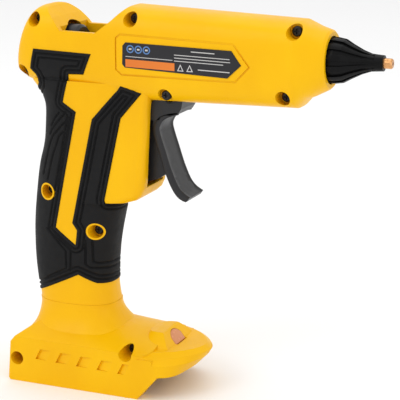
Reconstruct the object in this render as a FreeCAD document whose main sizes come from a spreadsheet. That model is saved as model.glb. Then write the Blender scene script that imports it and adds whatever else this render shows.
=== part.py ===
"""Cordless hot-melt glue gun for 11 mm sticks, as a parametric FreeCAD document.

Axes: +X points out of the nozzle, +Z is up and the tool stands on z = 0. The two housing
halves meet on the plane y = 0. All sizes are in millimetres.
"""
import FreeCAD, Part
import math
import os
import Sketcher
from FreeCAD import Placement, Rotation, Vector

os.makedirs("parts", exist_ok=True)
doc = FreeCAD.newDocument("glue_gun")

# ---------------------------------------------------------------- driving dimensions
DIMENSIONS = {
    "axis_height": 194.8,           # nozzle and glue stick axis above the ground
    "stick_radius": 5.6,            # 11.2 mm glue stick
    "shell_wall": 2.2,              # moulded housing wall
    "grip_proud": 0.6,              # overmould stands this far out of the housing
    "grip_recess": 1.3,             # and is let this far into it
    "foot_half_width": 30.5,
    "foot_rear": -108.2,
    "nozzle_end": 108.2,
    "pivot_forward": -13.5,         # trigger pivot
    "pivot_height": 172.3,
    "pivot_radius": 4.55,           # moulded pivot boss
    "running_fit": 0.05,            # radial clearance of a turning fit
    "slot_half_width": 10.8,        # trigger opening in the housing
    "trigger_half_width": 10.2,
    "carriage_half_width": 7.8,
    "screw_radius": 1.5,
    "screw_head_radius": 2.8,
    "counterbore_radius": 4.0,
    "boss_radius": 5.6,
    "chamber_radius": 9.5,
    "chamber_rear": 14.0,
    "chamber_front": 66.0,
    "collar_radius": 11.3,
    "boot_radius": 12.2,
    "battery_half_width": 25.0,
    "button_tilt": 52.0,            # degrees that the button face leans forward
}
sheet = doc.addObject("Spreadsheet::Sheet", "Dimensions")
for row, (alias, value) in enumerate(DIMENSIONS.items(), start=1):
    sheet.set(f"A{row}", alias)
    sheet.set(f"B{row}", str(value))
    sheet.setAlias(f"B{row}", alias)
doc.recompute()


def size(alias):
    """Value of one cell of the sheet."""
    return float(sheet.get(alias))


AXIS_Z = size("axis_height")
WALL = size("shell_wall")
PROUD = size("grip_proud")
RECESS = size("grip_recess")
PIVOT_X = size("pivot_forward")
PIVOT_Z = size("pivot_height")
GAP = size("running_fit")

SUB_PARTS = []                      # every object that becomes a STEP file


# ---------------------------------------------------------------- helpers: shapes
def signed_power(value, exponent):
    return math.copysign(abs(value) ** exponent, value)


def superellipse(half_u, half_v, power, count=48):
    """Points of a closed superellipse, from the +v end round towards +u."""
    points = []
    for step in range(count):
        angle = 2 * math.pi * step / count
        points.append((half_u * signed_power(math.sin(angle), 2 / power),
                       half_v * signed_power(math.cos(angle), 2 / power)))
    return points


def closed_curve(points):
    """Smooth closed wire through 3-D points."""
    curve = Part.BSplineCurve()
    curve.interpolate(Points=points, PeriodicFlag=True)
    return Part.Wire(curve.toShape())


def polygon_face(points, grow=0.0):
    """Flat face in the XZ plane, offset outwards by grow."""
    corners = [Vector(x, 0, z) for x, z in points]
    face = Part.Face(Part.makePolygon(corners + corners[:1]))
    if grow:
        face = face.makeOffset2D(grow, 2, False, False, False)
    return face


def side_prism(points, half_width, grow=0.0):
    """Side outline in XZ carried across the tool from -half_width to +half_width."""
    face = polygon_face(points, grow)
    face.translate(Vector(0, -half_width, 0))
    return face.extrude(Vector(0, 2 * half_width, 0))


def box(x0, x1, y0, y1, z0, z1):
    return Part.makeBox(x1 - x0, y1 - y0, z1 - z0, Vector(x0, y0, z0))


def cross_cylinder(x, z, radius, y0, y1):
    """Cylinder along Y."""
    return Part.makeCylinder(radius, y1 - y0, Vector(x, y0, z), Vector(0, 1, 0))


def axial_cylinder(radius, x0, x1, y=0.0, z=AXIS_Z):
    """Cylinder along X."""
    return Part.makeCylinder(radius, x1 - x0, Vector(x0, y, z), Vector(1, 0, 0))


def mirrored(shape):
    return shape.mirror(Vector(0, 0, 0), Vector(0, 1, 0))


def joined(shapes):
    return shapes[0].fuse(shapes[1:]).removeSplitter()


def one_solid(shape):
    """The single largest solid of a boolean result."""
    return max(shape.Solids, key=lambda solid: solid.Volume)


# ---------------------------------------------------------------- helpers: document objects
def add_feature(label, shape):
    """Part::Feature for a shell or a group of solids that no feature tree fits."""
    feature = doc.addObject("Part::Feature", label)
    feature.Label = label
    feature.Shape = shape
    SUB_PARTS.append(feature)
    return feature


def add_body(label):
    body = doc.addObject("PartDesign::Body", label)
    body.Label = label
    SUB_PARTS.append(body)
    return body


def outline_sketch(body, name, plane, points):
    """Closed polygon sketch; a coordinate is a number or an expression of the sheet."""
    sketch = body.newObject("Sketcher::SketchObject", name)
    origin_plane = [item for item in body.Origin.OriginFeatures if item.Role == plane][0]
    sketch.AttachmentSupport = (origin_plane, [""])
    sketch.MapMode = "FlatFace"
    count = len(points)
    values = [tuple(coordinate_value(item) for item in point) for point in points]
    for index, (u, v) in enumerate(values):
        end = values[(index + 1) % count]
        line = Part.LineSegment(Vector(u, v, 0), Vector(end[0], end[1], 0))
        sketch.addGeometry(line, False)
    for index in range(count):
        sketch.addConstraint(Sketcher.Constraint("Coincident", index, 2, (index + 1) % count, 1))
    for index, point in enumerate(points):
        for kind, item, value in zip(("DistanceX", "DistanceY"), point, values[index]):
            number = sketch.addConstraint(Sketcher.Constraint(kind, -1, 1, index, 1, value))
            if isinstance(item, str):
                sketch.setExpression(f"Constraints[{number}]", item)
    return sketch


def coordinate_value(item):
    """Number behind an expression such as 'Dimensions.stick_radius + 0.3'."""
    if not isinstance(item, str):
        return float(item)
    total = 0.0
    sign = 1.0
    for word in item.replace("Dimensions.", "").split():
        if word in ("+", "-"):
            sign = 1.0 if word == "+" else -1.0
            continue
        negative = word.startswith("-")
        word = word.lstrip("-")
        number = size(word) if word in DIMENSIONS else float(word)
        total += sign * (-number if negative else number)
        sign = 1.0
    return total


def revolve(label, points):
    """Body turned about the stick axis from (x, radius) points."""
    body = add_body(label)
    turned = body.newObject("PartDesign::Revolution", f"{label}_turned")
    turned.Profile = outline_sketch(body, f"{label}_profile", "XZ_Plane", points)
    turned.ReferenceAxis = (turned.Profile[0], ["H_Axis"])
    turned.Angle = 360
    body.Tip = turned
    body.setExpression("Placement.Base.z", "Dimensions.axis_height")
    return body


def pad_across(label, points, half_width, name="plate"):
    """Body padded symmetrically about y = 0 from an (x, z) outline."""
    body = add_body(label)
    pad = body.newObject("PartDesign::Pad", f"{label}_{name}")
    pad.Profile = outline_sketch(body, f"{label}_outline", "XZ_Plane", points)
    pad.SideType = "Symmetric"
    if isinstance(half_width, str):
        pad.Length = 2 * coordinate_value(half_width)
        pad.setExpression("Length", f"2 * ({half_width})")
    else:
        pad.Length = 2 * half_width
    body.Tip = pad
    return body


def pocket_across(body, name, points, half_width):
    """Pocket through a body, symmetric about y = 0."""
    pocket = body.newObject("PartDesign::Pocket", name)
    pocket.Profile = outline_sketch(body, f"{name}_outline", "XZ_Plane", points)
    pocket.SideType = "Symmetric"
    pocket.Length = 2 * half_width
    body.Tip = pocket
    return pocket


def circle_sketch(body, name, plane, u, v, radius):
    """One circle; its radius may be an expression of the sheet."""
    sketch = body.newObject("Sketcher::SketchObject", name)
    origin_plane = [item for item in body.Origin.OriginFeatures if item.Role == plane][0]
    sketch.AttachmentSupport = (origin_plane, [""])
    sketch.MapMode = "FlatFace"
    circle = Part.Circle(Vector(u, v, 0), Vector(0, 0, 1), coordinate_value(radius))
    sketch.addGeometry(circle, False)
    sketch.addConstraint(Sketcher.Constraint("DistanceX", -1, 1, 0, 3, u))
    sketch.addConstraint(Sketcher.Constraint("DistanceY", -1, 1, 0, 3, v))
    number = sketch.addConstraint(Sketcher.Constraint("Radius", 0, coordinate_value(radius)))
    if isinstance(radius, str):
        sketch.setExpression(f"Constraints[{number}]", radius)
    return sketch


def symmetric_feature(body, kind, name, sketch, half_length):
    """Pad or pocket on both sides of its sketch plane."""
    feature = body.newObject(f"PartDesign::{kind}", name)
    feature.Profile = sketch
    feature.SideType = "Symmetric"
    feature.Length = 2 * coordinate_value(half_length)
    if isinstance(half_length, str):
        feature.setExpression("Length", f"2 * ({half_length})")
    body.Tip = feature
    return feature


def coil(radius, wire_radius, pitch, length, base, turn):
    """Round-wire helix from base along the turned Z axis."""
    helix = Part.makeHelix(pitch, length, radius)
    start = Part.Wire(Part.makeCircle(wire_radius, Vector(radius, 0, 0), Vector(0, 1, 0)))
    spring = Part.Wire(helix.Edges).makePipeShell([start], True, True)
    spring.Placement = Placement(base, turn)
    return spring


def lead(radius, points, side):
    """Round lead along a smooth route, on the left (+1) or the right (-1)."""
    route = [Vector(x, side * y, z) for x, y, z in points]
    steps = [0.0]
    for near, far in zip(route, route[1:]):
        steps.append(steps[-1] + math.sqrt(near.distanceToPoint(far)))
    curve = Part.BSplineCurve()
    curve.interpolate(Points=route, Parameters=steps)
    path = Part.Wire(curve.toShape())
    start = Part.Wire(Part.makeCircle(radius, route[0], curve.tangent(curve.FirstParameter)[0]))
    return path.makePipeShell([start], True, False)


# ---------------------------------------------------------------- outer form of the housing
# x, bottom z, top z, half width, superellipse power
HUMP_STATIONS = [
    (-106.6, 180.6, 185.0, 9.0, 2.2),
    (-105.4, 178.0, 191.0, 13.0, 2.5),
    (-102.8, 176.0, 201.6, 16.6, 2.8),
    (-99.2, 174.8, 210.2, 18.6, 3.0),
    (-95.0, 174.1, 215.2, 19.8, 3.1),
    (-88.5, 173.6, 217.4, 20.3, 3.2),
]
BARREL_STATIONS = [
    (-88.5, 173.6, 217.4, 20.3, 3.2),
    (-38.0, 167.0, 218.9, 20.5, 3.2),
    (59.7, 169.0, 215.4, 20.2, 3.1),
    (64.2, 174.0, 213.6, 19.0, 2.9),
    (68.2, 175.6, 212.2, 17.9, 2.6),
    (74.4, 178.8, 210.7, 16.0, 2.2),
    (75.6, 180.0, 209.6, 14.9, 2.1),
]
# z, rear x, front x, half width, superellipse power
GRIP_STATIONS = [
    (36.0, -99.0, -48.5, 17.4, 2.5),
    (46.0, -98.6, -50.9, 17.2, 2.5),
    (60.0, -100.3, -52.4, 17.0, 2.4),
    (73.0, -101.4, -52.0, 17.0, 2.4),
    (86.0, -101.5, -50.4, 17.2, 2.4),
    (98.0, -100.6, -48.1, 17.4, 2.5),
    (114.0, -98.5, -44.4, 17.8, 2.6),
    (130.0, -95.3, -40.0, 18.2, 2.8),
    (141.0, -92.4, -36.0, 18.4, 2.9),
    (150.0, -91.4, -33.0, 18.6, 3.0),
    (160.5, -91.1, -30.0, 18.8, 3.0),
    (165.5, -92.4, -29.0, 18.9, 3.0),
    (169.5, -95.0, -28.0, 19.0, 3.0),
    (173.5, -98.6, -27.0, 19.1, 3.0),
    (177.0, -101.0, -26.0, 19.1, 3.0),
]
# Trigger guard side of the handle, in XZ
GUARD_OUTLINE = [(-64, 108), (-38.4, 109.4), (-32.3, 111.4), (-29.2, 114.2), (-27.4, 118),
                 (-26.8, 122), (-24.7, 162), (-23.4, 175), (-64, 175)]
GUARD_HALF_WIDTH = 17.7
# Open trough between the rear hump and the barrel, as a cut from above
SADDLE_OUTLINE = [(-94, 235), (-91.5, 219.0), (-86.6, 216.4), (-81.0, 211.4), (-76.6, 206.6),
                  (-75.2, 204.7), (-53.8, 204.4), (-45.0, 211.3), (-37.2, 219.4), (-30, 235)]
TROUGH_HALF_WIDTH = 16.3
TROUGH_FLOOR = 185.0


def station_wire_yz(station, grow):
    x, low, high, half_width, power = station
    middle = (low + high) / 2
    outline = superellipse(half_width + grow, (high - low) / 2 + grow, power)
    return closed_curve([Vector(x, y, middle + z) for y, z in outline])


def station_wire_xy(station, grow):
    z, rear, front, half_width, power = station
    middle = (rear + front) / 2
    outline = superellipse(half_width + grow, (front - rear) / 2 + grow, power)
    return closed_curve([Vector(middle + x, y, z) for y, x in outline])


def barrel_form(grow=0.0):
    """Smooth rounded hump, then the straight barrel with its crisp sloping nose."""
    hump = []
    for index, station in enumerate(HUMP_STATIONS):
        shift = grow * (1 - index / (len(HUMP_STATIONS) - 1))
        hump.append(station_wire_yz((station[0] - shift,) + station[1:], grow))
    barrel = [station_wire_yz(item, grow) for item in BARREL_STATIONS[:-2]]
    for station in BARREL_STATIONS[-2:]:
        barrel.append(station_wire_yz((station[0] + min(grow, 0.0),) + station[1:], grow))
    return Part.makeLoft(hump, True, False).fuse(Part.makeLoft(barrel, True, True))


def grip_form(grow=0.0):
    """Handle with the trigger guard block in front."""
    handle = Part.makeLoft([station_wire_xy(item, grow) for item in GRIP_STATIONS], True, False)
    guard = side_prism(GUARD_OUTLINE, GUARD_HALF_WIDTH + grow, grow)
    front_edges = [edge for edge in guard.Edges if is_guard_front_edge(edge)]
    return handle.fuse(guard.makeFillet(4.5, front_edges))


def is_guard_front_edge(edge):
    """Long edges of the guard block that face the trigger, on either side."""
    middle = edge.BoundBox.Center
    runs_along_side = edge.BoundBox.YLength < 0.1
    return runs_along_side and middle.x > -45 and 108 < middle.z < 172


def outer_form(grow=0.0):
    return barrel_form(grow).fuse(grip_form(grow))


# ---------------------------------------------------------------- foot
FOOT_HALF_WIDTH = size("foot_half_width")
FOOT_REAR = size("foot_rear")
FOOT_OUTLINE = [(FOOT_REAR + 1.0, 0), (FOOT_REAR, 1.4), (-106.4, 23.8), (-103.4, 27.4), (-97, 32),
                (-90, 36.6), (-47, 36.6), (-20, 33.0), (-16.5, 31.0), (-16.5, 14.5),
                (-13.3, 14.5), (-25.8, 0)]
# x, z where the side wall meets the arched top, z of the top
ARCH_STATIONS = [(-140, 27.2, 36.9), (-60, 26.8, 36.6), (-14, 25.2, 29.9)]
SHOULDER_X = -18.5                  # front of the foot above the nose
SHOULDER_Z = 24.0
SHOULDER_RADIUS = 9.0
SLOT_CEILING = 17.0                 # battery slot, under this height
SLOT_REAR = -96.0
FLOOR_PLATE = 19.2                  # top of the plate over the battery slot
BOARD_Z = 21.2                      # underside of the control board
BATTERY_LEAD_X = -88.5
# Half outlines of the nose in plan, from the side round to the tip, by height
NOSE_PLANS = [
    (14.5, [(-13.6, 30.5), (-6.2, 25.0), (-2.9, 12.5)], -1.6),
    (21.0, [(-15.5, 30.5), (-5.0, 24.8), (2.0, 12.6)], 4.8),
    (24.5, [(-20.0, 30.0), (-6.5, 22.0), (2.2, 12.0)], 7.0),
    (27.0, [(-30.0, 27.0), (-10.0, 20.0), (-1.5, 12.0)], 3.5),
]


def nose_wire(height, side_points, tip_x, grow):
    """Plan outline of the nose: straight back edge, bowed front."""
    scale = 1 + grow / FOOT_HALF_WIDTH
    upper = [Vector(x + grow, y * scale, height) for x, y in side_points]
    tip = Vector(tip_x + grow, 0, height)
    lower = [Vector(point.x, -point.y, height) for point in reversed(upper)]
    bow = Part.BSplineCurve()
    bow.interpolate(upper + [tip] + lower)
    back_left = Vector(-44, upper[0].y, height)
    back_right = Vector(-44, lower[-1].y, height)
    sides = Part.makePolygon([lower[-1], back_right, back_left, upper[0]])
    return Part.Wire([bow.toShape()] + sides.Edges)


def foot_nose(grow=0.0):
    wires = []
    for height, side_points, tip_x in NOSE_PLANS:
        level = height + (grow if height > SHOULDER_Z else 0)
        wires.append(nose_wire(level, side_points, tip_x, grow))
    return Part.makeLoft(wires, True, True)


def arch_wire(x, crease, top, half_width):
    """Section of the foot across the tool: straight sides under a shallow arch."""
    start = Vector(x, -half_width, crease)
    end = Vector(x, half_width, crease)
    arc = Part.Arc(end, Vector(x, 0, top), start).toShape()
    base = Part.makePolygon([start, Vector(x, -half_width, -10), Vector(x, half_width, -10), end])
    return Part.Wire(base.Edges + [arc])


def arch_form(grow=0.0):
    """Arched top of the foot, falling towards the nose."""
    half = FOOT_HALF_WIDTH + grow
    wires = [arch_wire(x, crease + grow, top + grow, half) for x, crease, top in ARCH_STATIONS]
    return Part.makeLoft(wires, True, True)


def shoulder_waste(grow=0.0):
    """What the rounded front corners leave out above the nose."""
    front = SHOULDER_X + grow
    half = FOOT_HALF_WIDTH + grow
    keep = box(-140, front, -half, half, 10, 60)
    corners = [edge for edge in keep.Edges
               if edge.BoundBox.ZLength > 40 and abs(edge.BoundBox.Center.x - front) < 0.01]
    return box(-60, 10, -40, 40, SHOULDER_Z, 58).cut(keep.makeFillet(SHOULDER_RADIUS, corners))


def neck_flare(grow=0.0):
    """Concave sweep from the handle out to the foot."""
    # z, rear x, front x, half width, power
    stations = [
        (20.0, -106.2, -36.0, 29.0, 4.0),
        (26.6, -104.4, -38.0, 27.4, 3.6),
        (30.5, -101.8, -41.5, 24.0, 3.0),
        (35.5, -99.8, -46.0, 20.4, 2.7),
        (41.0, -98.9, -49.4, 18.2, 2.5),
        (46.6, -98.9, -50.6, 17.5, 2.5),
    ]
    return Part.makeLoft([station_wire_xy(item, grow) for item in stations], True, False)


def button_bump(grow=0.0):
    """Raised seat of the power button, cut to the button's lean."""
    # z, half length, half width, middle x
    plans = [(22.0, 17.5, 21.5, -19.0), (27.0, 14.6, 19.0, -18.6), (31.5, 11.5, 14.0, -18.4),
             (35.0, 8.6, 9.6, -19.0), (37.0, 6.0, 6.6, -19.5)]
    wires = []
    for height, half_x, half_y, middle in plans:
        outline = superellipse(half_y + grow, half_x + grow, 2.4)
        wires.append(closed_curve([Vector(middle + x, y, height + grow) for y, x in outline]))
    cone = Part.makeLoft(wires, True, False)
    side = side_prism([(-37, 20), (-37, 31.5), (-29, 33.3), (-24, 34.1), (-18.6, 34.3),
                       (-17.6, 33.9), (-10.7, 25.2), (-4.6, 24.8), (-2.0, 20)], 25, grow)
    return cone.common(side)


def foot_form(grow=0.0):
    block = side_prism(FOOT_OUTLINE, FOOT_HALF_WIDTH + grow, grow).common(arch_form(grow))
    block = block.cut(shoulder_waste(grow))
    parts = [block, foot_nose(grow), neck_flare(grow), button_bump(grow)]
    return parts[0].fuse(parts[1:])


# ---------------------------------------------------------------- screws and bosses
# x, z, depth of the counterbore floor from y = 0
SCREW_PLACES = [
    (59.3, 210.4, 9.0), (54.2, 175.6, 9.0), (-33.4, 212.6, 9.0), (-92.0, 210.0, 8.0),
    (-101.2, 180.2, 6.0), (PIVOT_X, PIVOT_Z, 13.0), (-87.2, 112.0, 8.0), (-58.0, 90.8, 8.0),
    (-102.4, 13.9, 14.0), (-33.0, 25.4, 17.0),
]
SCREW_HEAD_HEIGHT = 2.2
PIVOT_SHOULDER_RADIUS = 6.2


def screw(x, z, seat):
    """Pan-head screw whose head sits on the counterbore floor at y = -seat."""
    top = -seat - SCREW_HEAD_HEIGHT
    head = cross_cylinder(x, z, size("screw_head_radius"), top, -seat)
    head = head.makeFillet(0.8, [edge for edge in head.Edges if abs(edge.BoundBox.YMax - top) < 0.01])
    shank = cross_cylinder(x, z, size("screw_radius"), -seat - 0.1, 9.0)
    recess = joined([box(x - 1.5, x + 1.5, -seat - 3, -seat - 1.0, z - 0.35, z + 0.35),
                     box(x - 0.35, x + 0.35, -seat - 3, -seat - 1.0, z - 1.5, z + 1.5)])
    return head.fuse(shank).cut(recess)


def add_screws():
    add_feature("housing_screws", Part.makeCompound([screw(*place) for place in SCREW_PLACES]))


def screw_bosses():
    """Round bosses from the side walls to the parting plane."""
    bosses = []
    for x, z, _ in SCREW_PLACES:
        if (x, z) != (PIVOT_X, PIVOT_Z):
            bosses.append(cross_cylinder(x, z, size("boss_radius"), -29, 29))
    return bosses


def pivot_boss():
    """Axle of the trigger, with a shoulder on each side of the slot."""
    shoulder = size("slot_half_width")
    return [cross_cylinder(PIVOT_X, PIVOT_Z, size("pivot_radius"), -19, 19),
            cross_cylinder(PIVOT_X, PIVOT_Z, PIVOT_SHOULDER_RADIUS, -19, -shoulder),
            cross_cylinder(PIVOT_X, PIVOT_Z, PIVOT_SHOULDER_RADIUS, shoulder, 19)]


def screw_holes(side):
    """Counterbores and clearance holes on the right (-1), pilot holes on the left (+1)."""
    holes = []
    for x, z, seat in SCREW_PLACES:
        if side < 0:
            holes.append(cross_cylinder(x, z, size("counterbore_radius"), -40, -seat))
            holes.append(cross_cylinder(x, z, size("screw_radius") + 0.2, -seat - 1, 0))
        else:
            holes.append(cross_cylinder(x, z, size("screw_radius"), 0, 9.0))
    return holes


# ---------------------------------------------------------------- housing
def saddle_cut(grow=0.0):
    return side_prism(SADDLE_OUTLINE, 30, grow)


def inner_space():
    """Hollow inside the housing, before bosses and ribs go back in."""
    upper = outer_form(-WALL - 0.4).cut(saddle_cut(WALL))
    low_half = size("battery_half_width")
    foot = foot_form(-WALL).cut(box(-130, 40, -60, 60, -20, FLOOR_PLATE))
    foot = foot.cut(box(-130, SLOT_REAR - 0.1, -60, 60, -20, 26.0))
    slot = box(SLOT_REAR, -16, -low_half, low_half, 4.2, SLOT_CEILING)
    mouth = box(SLOT_REAR, -16, -low_half + 3.6, low_half - 3.6, -5, 4.4)
    lead_ways = [Part.makeCylinder(1.6, 5, Vector(BATTERY_LEAD_X, side * 8, SLOT_CEILING - 1))
                 for side in (-1, 1)]
    return upper, foot, [slot, mouth] + lead_ways


def trough_liner(form):
    """Thick channel walls and floor that the stick is dropped into."""
    block = box(-90, -41, -19.5, 19.5, TROUGH_FLOOR - 2, 204.6).common(form)
    channel = box(-91, -40, -TROUGH_HALF_WIDTH, TROUGH_HALF_WIDTH, TROUGH_FLOOR, 230)
    return block.cut(channel)


def ring_rib(form, x0, x1, bore):
    """Rib across the barrel with a round seat, notched for the leads."""
    slab = box(x0, x1, -25, 25, 160, 225).common(form)
    notches = [box(x0 - 1, x1 + 1, side * 16.6 - 2.4, side * 16.6 + 2.4, 182.6, 195.8)
               for side in (-1, 1)]
    return slab.cut([axial_cylinder(bore, x0 - 1, x1 + 1)] + notches)


def carriage_rails(form):
    rails = []
    for side in (-1, 1):
        y0, y1 = sorted((side * 9.3, side * 19.5))
        rails.append(box(-36, 6, y0, y1, 199.4, 202.7).common(form))
        rails.append(box(-36, 6, y0, y1, 206.3, 208.2).common(form))
    return rails


def board_posts():
    """Four posts that carry the control board."""
    return [box(x, x + 4, y, y + 5, FLOOR_PLATE - 0.4, BOARD_Z)
            for x in (-84, -50) for y in (-15, 10)]


def openings():
    """Everything that is cut through the housing wall."""
    half = size("slot_half_width")
    trigger_front = box(-50, -15, -half, half, 118.8, 174.0)
    trigger_bottom = box(-27, -4.2, -half, half, 155.0, 174.0)
    trough = box(-76.6, -52, -TROUGH_HALF_WIDTH, TROUGH_HALF_WIDTH, TROUGH_FLOOR, 230)
    nose_bore = axial_cylinder(size("boot_radius") + 0.5, 71.0, 90)
    nose_seat = axial_cylinder(13.6, 70.2, 72.8)
    hump_bore = axial_cylinder(size("collar_radius") + 0.1, -115, -88)
    arch = axial_cylinder(13.7, -89, -60)
    barrel_mouth = axial_cylinder(13.7, -60, -37)
    return [trigger_front, trigger_bottom, trough, nose_bore, nose_seat, hump_bore, arch,
            barrel_mouth]


def side_pockets():
    """Five shallow ramps along each side of the foot."""
    pockets = []
    depth = 1.4
    for number in range(5):
        x = -88.6 + 13.1 * number
        floor_x = x + (7.4 if number < 4 else 4.4)
        low, high = 15.0 - 0.35 * number, 21.2 - 0.35 * number
        near = [Vector(x - 1.6, 0, low), Vector(x + 1.6, 0, high)]
        far = [Vector(floor_x + 1.6, 0, high), Vector(floor_x - 1.6, 0, low)]
        for side in (-1, 1):
            surface = Vector(0, side * (FOOT_HALF_WIDTH + 0.02), 0)
            deep = Vector(0, side * (FOOT_HALF_WIDTH - depth), 0)
            wedge = [near[0] + surface, near[1] + surface, near[1] + deep, near[0] + deep]
            front = [far[1] + surface, far[0] + surface]
            pockets.append(wedge_solid(wedge, front))
    return pockets


def wedge_solid(rear_corners, front_corners):
    """Triangular ramp: deep at the rear edge, flush at the front edge."""
    low_out, high_out, high_in, low_in = rear_corners
    low_tip, high_tip = front_corners
    outlines = [
        [low_out, high_out, high_in, low_in],
        [low_out, low_tip, high_tip, high_out],
        [low_in, high_in, high_tip, low_tip],
        [low_out, low_in, low_tip],
        [high_out, high_tip, high_in],
    ]
    faces = [Part.Face(Part.makePolygon(points + points[:1])) for points in outlines]
    solid = Part.makeSolid(Part.makeShell(faces))
    return solid if solid.Volume > 0 else solid.reversed()


# Outline of the soft grip in XZ. It runs past the handle front and back, so that it wraps round.
OVERMOULD_OUTLINE = [
    (-94.8, 182.6), (-91.7, 194.1), (-55.9, 193.1), (-61.1, 181.3), (-70.4, 180.9),
    (-75.0, 164.8), (-66.7, 159.9), (-82.0, 91.5), (-69.6, 82.2), (-68.4, 90.9), (-71.2, 95.1),
    (-56.9, 156.4), (-39.1, 176.1), (-26.9, 172.7), (-39.7, 158.0), (-50.4, 110.6),
    (-49.8, 108.6), (-44.0, 107.6), (-18.0, 107.6), (-18.0, 66.0), (-42.7, 60.6), (-49.5, 58.6),
    (-58.2, 59.6), (-68.5, 64.5), (-91.2, 53.6), (-127, 36.5), (-127, 168.4), (-96.0, 168.4), (-91.3, 174.5),
    (-92.3, 179.5),
]
LABEL_OUTLINE = [(-36.6, 198.9), (-34.9, 200.7), (26.4, 199.5), (31.9, 192.1), (24.2, 184.9),
                 (-35.4, 187.1), (-36.9, 188.8)]
LABEL_FRAME_OUTLINE = [(-41.2, 203.0), (-38.5, 205.2), (27.4, 203.4), (37.0, 191.4), (28.6, 182.6),
                       (-37.6, 182.5), (-41.2, 185.5)]
LABEL_FACE = 20.62                  # outer face of the label plate from the middle plane
LABEL_BACK = 19.85
GRIP_HOLES = [(-87.2, 112.0), (-58.0, 90.8)]
GRIP_RIM = 5.0                      # moulded ring of housing round each screw in the grip


def overmould_prism():
    prism = side_prism(OVERMOULD_OUTLINE, 30)
    return prism.cut([cross_cylinder(x, z, GRIP_RIM, -40, 40) for x, z in GRIP_HOLES])


def label_plates():
    """Thin plates let into the nearly flat sides of the barrel."""
    return side_prism(LABEL_OUTLINE, LABEL_FACE).cut(box(-60, 60, -LABEL_BACK, LABEL_BACK, 150, 230))


def label_frame_groove():
    """Thin outline that frames the label on each side."""
    ring = side_prism(LABEL_FRAME_OUTLINE, 30).cut(side_prism(LABEL_FRAME_OUTLINE, 31, -0.8))
    return ring.cut(box(-60, 60, -LABEL_BACK + 0.2, LABEL_BACK - 0.2, 150, 230))


def build_housing():
    """Both halves, the soft grips and the labels share the same outer forms."""
    outer = outer_form()
    foot = foot_form()
    upper_space, foot_space, slot_spaces = inner_space()
    prism = overmould_prism()
    proud = outer_form(PROUD)
    sunk = outer_form(-RECESS)
    grip_skin = proud.cut(sunk).common(prism)
    rims = [cross_cylinder(x, z, GRIP_RIM, -30, 30) for x, z in GRIP_HOLES]
    rims = [item.common(proud) for item in rims]

    shell = outer.cut(saddle_cut()).fuse([foot] + rims)
    shell = shell.cut([upper_space, foot_space])
    inside = sunk.cut(saddle_cut(0.8))
    whole_inside = inside.fuse(foot_form(-0.8))
    additions = [item.common(whole_inside) for item in screw_bosses()]
    additions += [trough_liner(inside), ring_rib(inside, 18, 22, 14.6),
                  ring_rib(inside, 66, 70, 13.6),
                  ring_rib(inside, -93, -89, size("collar_radius") + 0.05)]
    additions += board_posts()
    additions += carriage_rails(inside)
    shell = shell.fuse(additions)
    shell = shell.cut(slot_spaces + openings() + side_pockets())
    shell = shell.fuse([item.common(whole_inside) for item in pivot_boss()])
    shell = shell.cut(grip_skin)
    label = label_plates()
    shell = shell.cut([label, label_frame_groove()])
    return shell, grip_skin, label


BUTTON_CENTRE = Vector(-14.2, 0, 29.9)
BUTTON_PLACEMENT = Placement(BUTTON_CENTRE, Rotation(Vector(0, 1, 0), size("button_tilt")))
BUTTON_HALF_WIDTH = 6.5
BUTTON_HALF_LENGTH = 4.3
BUTTON_SHOULDER = -0.5              # where the straight sides turn into the round end


def button_wire(grow):
    """D-shaped outline in the button's own plane: round end up, flat end forward."""
    half = BUTTON_HALF_WIDTH + grow
    flat = BUTTON_HALF_LENGTH + grow
    right = Vector(BUTTON_SHOULDER, -half, 0)
    left = Vector(BUTTON_SHOULDER, half, 0)
    arc = Part.Arc(left, Vector(-flat, 0, 0), right).toShape()
    rest = Part.makePolygon([right, Vector(flat, -half, 0), Vector(flat, half, 0), left])
    return Part.Wire([arc] + rest.Edges)


def button_clearance():
    """Hole for the power button, along the button's own axis."""
    hole = Part.Face(button_wire(0.25)).extrude(Vector(0, 0, 16))
    hole.translate(Vector(0, 0, -9))
    hole.Placement = BUTTON_PLACEMENT.multiply(hole.Placement)
    return hole


def add_housing_group():
    shell, grip_skin, label = build_housing()
    shell = shell.cut(button_clearance())
    halves = {"right": box(-200, 200, -100, 0, -50, 300), "left": box(-200, 200, 0, 100, -50, 300)}
    for name, half in halves.items():
        side = -1 if name == "right" else 1
        housing = shell.common(half).cut(screw_holes(side))
        add_feature(f"housing_{name}", one_solid(housing))
        add_feature(f"grip_overmould_{name}", one_solid(grip_skin.common(half)))
        add_feature(f"label_plate_{name}", one_solid(label.common(half)))



# ---------------------------------------------------------------- parts on the stick axis
def add_collar():
    revolve("rear_guide_collar", [
        (-104.0, 8.6), (-104.0, "Dimensions.collar_radius"), (-72.2, "Dimensions.collar_radius"),
        (-70.6, 10.0), (-70.6, 7.6), (-73.0, "Dimensions.stick_radius + 0.6"),
        (-98.0, "Dimensions.stick_radius + 0.6")])


def add_inlet_sleeve():
    revolve("inlet_sleeve", [
        (-2.0, "Dimensions.stick_radius + 0.2"), (-2.0, 8.2), (0.0, 9.2),
        ("Dimensions.chamber_rear - 0.1", 9.2), ("Dimensions.chamber_rear - 0.1", 7.25),
        (7.9, 7.25), (7.9, "Dimensions.stick_radius + 0.2")])
    revolve("sleeve_clamp_ring", [(9.4, 9.25), (9.4, 10.1), (12.2, 10.1), (12.2, 9.25)])


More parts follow.
